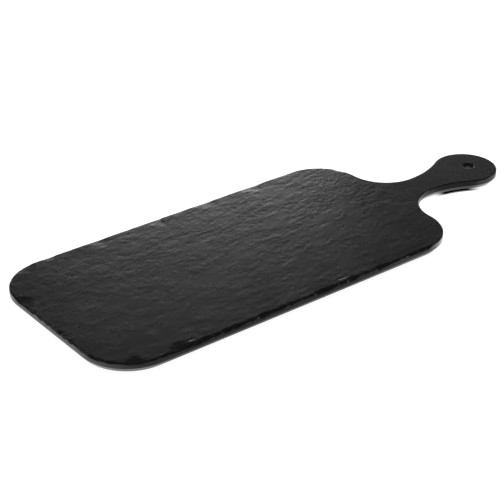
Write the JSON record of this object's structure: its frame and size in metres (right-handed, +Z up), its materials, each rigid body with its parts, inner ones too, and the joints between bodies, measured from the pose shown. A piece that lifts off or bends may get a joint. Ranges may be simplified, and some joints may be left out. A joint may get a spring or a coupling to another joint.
{
  "type": "serving board",
  "caption": "Paddle-shaped melamine serving board with a riven-slate top, chipped edges, a slim grip with a hanging hole, and push-in anti-slip feet underneath.",
  "frame": {"origin": "on the standing surface, under the middle of the board's length and width", "axes": "+X along the board towards the grip, +Y across it, +Z up out of the serving face"},
  "size_m": [0.48, 0.182, 0.01],
  "materials": {
    "melamine": "black compression-moulded melamine, satin, riven-slate relief on the serving area, smooth grip",
    "foot_rubber": "matt black moulded silicone rubber"
  },
  "bodies": {
    "root": {"tray_moulding": "melamine", "foot_front_left": "foot_rubber", "foot_front_right": "foot_rubber", "foot_rear_left": "foot_rubber", "foot_rear_right": "foot_rubber"}
  },
  "joints": []
}
